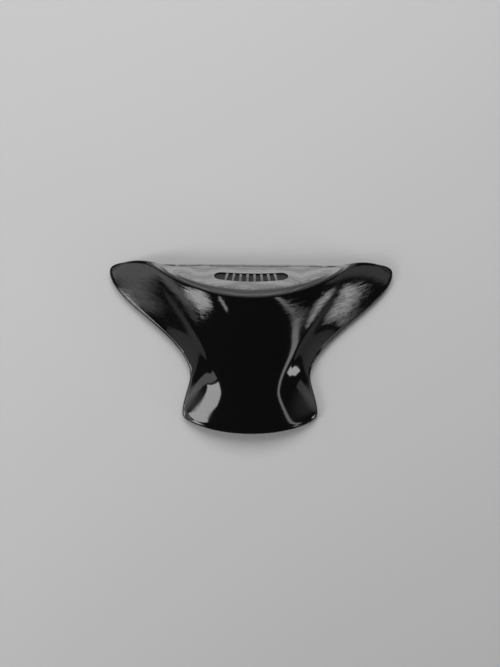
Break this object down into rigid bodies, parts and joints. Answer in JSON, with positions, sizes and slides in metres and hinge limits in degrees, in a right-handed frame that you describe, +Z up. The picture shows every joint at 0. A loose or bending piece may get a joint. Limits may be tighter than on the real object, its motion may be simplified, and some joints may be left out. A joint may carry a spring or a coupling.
{
  "type": "motorbike tank extender",
  "caption": "One-piece printed plastic saddle with two swept horns and a raised crest, which sits on the rear slope of a sports motorbike's fuel tank to support the rider.",
  "frame": {"origin": "middle of the bounding box at the level of the four low points that the part rests on: two horn tips and two foot corners", "axes": "+X across the bike, from horn to horn; +Y towards the front of the bike; +Z up off the surface it rests on"},
  "size_m": [0.1904, 0.1128, 0.0374],
  "materials": {
    "printed_plastic": "glossy black printed plastic with fine layer lines, satin on the layered front face"
  },
  "bodies": {
    "root": {"extender_body": "printed_plastic"}
  },
  "joints": []
}
